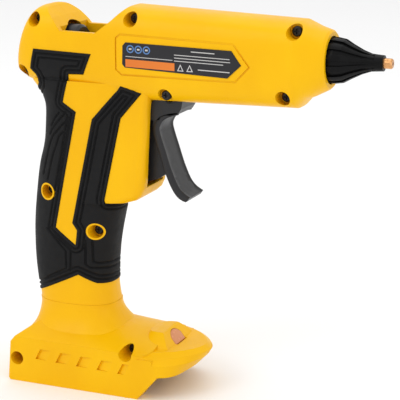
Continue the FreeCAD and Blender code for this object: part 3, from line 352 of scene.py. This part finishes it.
def add_grooved_grip(node, name):
    """The CAD grip skin again, with its edge rounded and its grooves pressed in."""
    mesh = bmesh.new()
    mesh.from_mesh(node.data)
    mark = mesh.verts.layers.float.new(GROOVE_MARK)
    bmesh.ops.remove_doubles(mesh, verts=mesh.verts, dist=MERGE_DISTANCE)
    mesh.normal_update()
    refine(mesh, GRIP_MESH_STEP)
    faces = outer_faces(mesh)
    ease_neck(mesh, faces)
    lift = {}
    for face in faces:
        for vertex in face.verts:
            lift[vertex] = lift.get(vertex, Vector()) + face.normal * face.calc_area()
    vertices = list(lift)
    flat = numpy.array([(v.co.x, v.co.z) for v in vertices]) / MM
    to_edge = nearest(flat, GRIP_EDGE, closed=True)
    to_line = numpy.min([nearest(flat, path) for path in GRIP_LINES], axis=0)
    for step in EDGE_STEPS:
        to_line = numpy.minimum(to_line, numpy.abs(to_edge - step))
    groove = numpy.clip(GROOVE_FLAT - to_line / GROOVE_HALF_WIDTH, 0, 1)
    groove = groove * groove * (3 - 2 * groove)
    edge = numpy.clip(1 - to_edge / EDGE_ROUNDING, 0, 1) ** 2 * EDGE_ROUNDING
    for vertex, share, drop in zip(vertices, groove, edge):
        # the mark also places the painted shade on the groove floors
        vertex[mark] = share
        depth = max(GROOVE_DEPTH * share, drop) * MM
        vertex.co -= lift[vertex].normalized() * depth
    data = bpy.data.meshes.new(name)
    mesh.to_mesh(data)
    mesh.free()
    shade_smooth(data, GRIP_SHARP)
    item = add_piece(name, data, GRIP_GROOVED, "body")
    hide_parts(node.name)


# ---------------------------------------------------------------- trigger blade
# Front and back of the finger blade, (x, z) in millimetres from the head down to the tip.
BLADE_FRONT = [(-9.0, 161.3), (-13.6, 160.0), (-17.4, 158.0), (-19.6, 155.2), (-20.6, 152.0),
               (-19.6, 147.4), (-16.8, 139.0), (-13.5, 129.3), (-9.7, 120.9), (-6.2, 116.9),
               (-2.2, 114.5)]
BLADE_BACK = [(-9.4, 162.6), (-14.0, 161.8), (-18.6, 160.2), (-21.8, 157.6), (-23.8, 153.0),
              (-23.1, 147.4), (-19.9, 138.0), (-16.7, 128.0), (-12.8, 119.3), (-8.8, 114.1),
              (-4.4, 112.1)]
BLADE_HALF_WIDTH = 10.2
BLADE_SKIN = 0.15                   # over the CAD trigger's own faces
BLADE_LIP = 0.45                    # raised edge on the front
BLADE_CORNER = 0.7                  # radius of its rounded edges
BLADE_STEPS = 5                     # rows between two points of an outline
BLADE_SHARP = 50                    # degrees


def smooth_path(points, steps):
    """Points along a smooth curve through the given ones."""
    path = []
    for index in range(len(points) - 1):
        before = Vector(points[max(index - 1, 0)])
        start, end = Vector(points[index]), Vector(points[index + 1])
        after = Vector(points[min(index + 2, len(points) - 1)])
        for k in range(steps):
            t = k / steps
            path.append(0.5 * (2 * start + (end - before) * t
                               + (2 * before - 5 * start + 4 * end - after) * t * t
                               + (3 * start - before - 3 * end + after) * t ** 3))
    path.append(Vector(points[-1]))
    return path


def blade_section():
    """(y, share of the way from back to front, lift) round the section of the blade."""
    half = BLADE_HALF_WIDTH
    corner = BLADE_CORNER
    front = [(half - corner * (1 - math.cos(a)), 1.0, BLADE_LIP - corner * (1 - math.sin(a)))
             for a in (0.0, 0.5, 1.0, math.pi / 2)]
    front += [(half - 1.5, 1.0, BLADE_LIP), (half - 2.2, 1.0, BLADE_LIP * 0.3),
              (half - 2.6, 1.0, 0.0)]
    middle = [(y, 1.0, 0.0) for y in (5.0, 2.5, 0.0, -2.5, -5.0)]
    back = [(-half, 0.0, corner), (-half + 0.25, 0.0, 0.2), (-half + corner, 0.0, 0.0),
            (0.0, 0.0, 0.0), (half - corner, 0.0, 0.0), (half - 0.25, 0.0, 0.2),
            (half, 0.0, corner)]
    return front + middle + [(-y, share, lift) for y, share, lift in reversed(front)] + back


def add_trigger_blade():
    """Curved finger blade with raised edges, over the plain one of the trigger."""
    fronts = smooth_path(BLADE_FRONT, BLADE_STEPS)
    backs = smooth_path(BLADE_BACK, BLADE_STEPS)
    section = blade_section()
    vertices = []
    for front, back in zip(fronts, backs):
        out = (front - back).normalized()
        for y, share, lift in section:
            spot = back.lerp(front, share)
            spot = spot + out * ((BLADE_SKIN + lift) if share else (lift - BLADE_SKIN))
            vertices.append((spot.x * MM, y * MM, spot.y * MM))
    count = len(section)
    faces = []
    for row in range(len(fronts) - 1):
        for k in range(count):
            near, far = row * count + k, row * count + (k + 1) % count
            faces.append((near, far, far + count, near + count))
    faces.append(tuple(reversed(range(count))))
    faces.append(tuple(range(len(vertices) - count, len(vertices))))
    data = bpy.data.meshes.new("trigger_blade")
    data.from_pydata(vertices, [], faces)
    solid = bmesh.new()
    solid.from_mesh(data)
    bmesh.ops.recalc_face_normals(solid, faces=solid.faces)
    solid.to_mesh(data)
    solid.free()
    shade_smooth(data, BLADE_SHARP)
    add_piece("trigger_blade", data, DARK, "trigger")


# ---------------------------------------------------------------- label print
# Places on the label are (x, z) in millimetres.
LABEL_FACE = 20.62
INK = 0.03                          # thickness of the print
RING_PLACES = [(-32.0, 197.3), (-27.2, 197.2), (-22.4, 197.1)]
RING_OUTER = 2.2
RING_INNER = 1.5
RING_MARK_HALF = 0.8                # short bar in the middle of each ring
RING_MARK_HEIGHT = 0.9
TRIANGLE_PLACES = [(-2.6, 188.9), (2.8, 188.9)]
TRIANGLE_HALF = 1.9
TRIANGLE_INSET = (0.75, 0.45, 0.9)  # of its inner outline, at the sides, foot and tip
LABEL_SLOPE = -0.02
ORANGE_BAR = (-34.9, -6.0, 189.6, 4.2)
# first x, last x, z, height
PALE_LINES = [(-34.8, -7.2, 193.2, 0.35), (3.5, 17.0, 197.8, 0.5), (-6.2, 25.5, 195.6, 0.4),
              (-6.2, 25.9, 194.0, 0.4), (-6.2, 22.0, 192.4, 0.4), (7.5, 25.6, 188.4, 0.5)]


def add_print(name, outlines, side, material):
    """Thin flat shapes on the label, from closed (x, z) outlines in millimetres."""
    vertices = []
    faces = []
    for outline in outlines:
        for offset in (0.0, INK):
            vertices += [(x * MM, side * (LABEL_FACE + offset) * MM, z * MM) for x, z in outline]
        count = len(outline)
        base = len(vertices) - 2 * count
        faces.append([base + count + k for k in range(count)])
        faces += [[base + k, base + (k + 1) % count, base + count + (k + 1) % count,
                   base + count + k] for k in range(count)]
    data = bpy.data.meshes.new(name)
    data.from_pydata(vertices, [], faces)
    add_piece(name, data, material, "body")


def ring(x, z, outer, inner, count=40):
    """Outlines of a flat ring, in four quarters."""
    pieces = []
    quarter = count // 4
    for part in range(4):
        turns = [2 * math.pi * (part * quarter + k) / count for k in range(quarter + 1)]
        arc = [(x + outer * math.cos(a), z + outer * math.sin(a)) for a in turns]
        back = [(x + inner * math.cos(a), z + inner * math.sin(a)) for a in reversed(turns)]
        pieces.append(arc + back)
    return pieces


def bar(x0, x1, z, height, slope=LABEL_SLOPE):
    """Level strip that leans with the label."""
    low, high = z - height / 2, z + height / 2
    drop = slope * (x1 - x0)
    return [(x0, low), (x1, low + drop), (x1, high + drop), (x0, high)]


def triangle(x, z, half):
    """Outline of a triangle, as three strips."""
    outer = [(x - half, z - half), (x + half, z - half), (x, z + half)]
    side, foot, tip = TRIANGLE_INSET
    inner = [(x - half + side, z - half + foot), (x + half - side, z - half + foot),
             (x, z + half - tip)]
    return [[outer[k], outer[(k + 1) % 3], inner[(k + 1) % 3], inner[k]] for k in range(3)]


def add_label_prints():
    """Plain rings, bar, lines and triangles on both labels."""
    rings = [piece for x, z in RING_PLACES for piece in ring(x, z, RING_OUTER, RING_INNER)]
    pale = [bar(*line) for line in PALE_LINES]
    for x, z in TRIANGLE_PLACES:
        pale += triangle(x, z, TRIANGLE_HALF)
    pale += [bar(x - RING_MARK_HALF, x + RING_MARK_HALF, z, RING_MARK_HEIGHT, 0.0)
             for x, z in RING_PLACES]
    for side, name in ((-1, "right"), (1, "left")):
        add_print(f"label_rings_{name}", rings, side, INK_BLUE)
        add_print(f"label_bar_{name}", [bar(*ORANGE_BAR)], side, INK_ORANGE)
        add_print(f"label_lines_{name}", pale, side, INK_PALE)


# ---------------------------------------------------------------- studio
CAMERA_TARGET = Vector((0.0002, 0.0, 0.1116))
CAMERA_AZIMUTH = math.radians(22.6)
CAMERA_ELEVATION = math.radians(14.4)
CAMERA_DISTANCE = 0.82
CAMERA_LENS = 132.3
LIGHT_TARGET = Vector((0, 0, 0.12))
# name, place, size, watts
LIGHTS = [("key", (-0.9, -1.3, 1.5), (1.0, 1.0), 7), ("top", (0.1, 0.2, 1.6), (1.4, 0.9), 5),
          ("fill", (1.5, -0.9, 0.6), (1.0, 1.2), 2)]
DOME_STRENGTH = 0.92
FLOOR_HALF = 6


def camera():
    """Long lens from the front right, a little above the tool."""
    back = Vector((math.sin(CAMERA_AZIMUTH) * math.cos(CAMERA_ELEVATION),
                   -math.cos(CAMERA_AZIMUTH) * math.cos(CAMERA_ELEVATION),
                   math.sin(CAMERA_ELEVATION)))
    data = bpy.data.cameras.new("camera")
    data.lens = CAMERA_LENS
    data.sensor_width = 36
    data.clip_start = 0.05
    data.clip_end = 20
    item = bpy.data.objects.new("camera", data)
    item.location = CAMERA_TARGET + CAMERA_DISTANCE * back
    item.rotation_mode = "QUATERNION"
    item.rotation_quaternion = (-back).to_track_quat("-Z", "Y")
    bpy.context.scene.collection.objects.link(item)
    bpy.context.scene.camera = item


def area_light(name, place, size, power):
    data = bpy.data.lights.new(name, "AREA")
    data.shape = "RECTANGLE"
    data.size, data.size_y = size
    data.energy = power
    item = bpy.data.objects.new(name, data)
    item.location = place
    item.rotation_mode = "QUATERNION"
    item.rotation_quaternion = (LIGHT_TARGET - Vector(place)).to_track_quat("-Z", "Y")
    bpy.context.scene.collection.objects.link(item)


def studio():
    """White dome, three large soft lights and the floor."""
    bpy.context.scene.view_settings.view_transform = "Standard"
    world = bpy.data.worlds.new("studio")
    world.use_nodes = True
    background = world.node_tree.nodes["Background"]
    background.inputs["Color"].default_value = (1, 1, 1, 1)
    background.inputs["Strength"].default_value = DOME_STRENGTH
    bpy.context.scene.world = world
    for light in LIGHTS:
        area_light(*light)
    add_floor()


def add_floor():
    """Pale paper floor, which isn't part of the tool."""
    far = FLOOR_HALF
    floor_mesh = bpy.data.meshes.new("floor")
    floor_mesh.from_pydata([(-far, -far, 0), (far, -far, 0), (far, far, 0), (-far, far, 0)], [],
                           [(0, 1, 2, 3)])
    floor = bpy.data.objects.new("floor", floor_mesh)
    paper = Surface("floor_paper", 0.9)
    paper.colour(paper.mix(paper.noise(3), (0.95, 0.95, 0.95, 1), (0.93, 0.93, 0.93, 1)))
    floor_mesh.materials.append(paper.material)
    bpy.context.scene.collection.objects.link(floor)


camera()
studio()
give_finishes()
smooth_cad_faces()
add_grooved_grip(NODES["grip_overmould_right"], "soft_grip_right")
add_grooved_grip(NODES["grip_overmould_left"], "soft_grip_left")
add_trigger_blade()
add_label_prints()
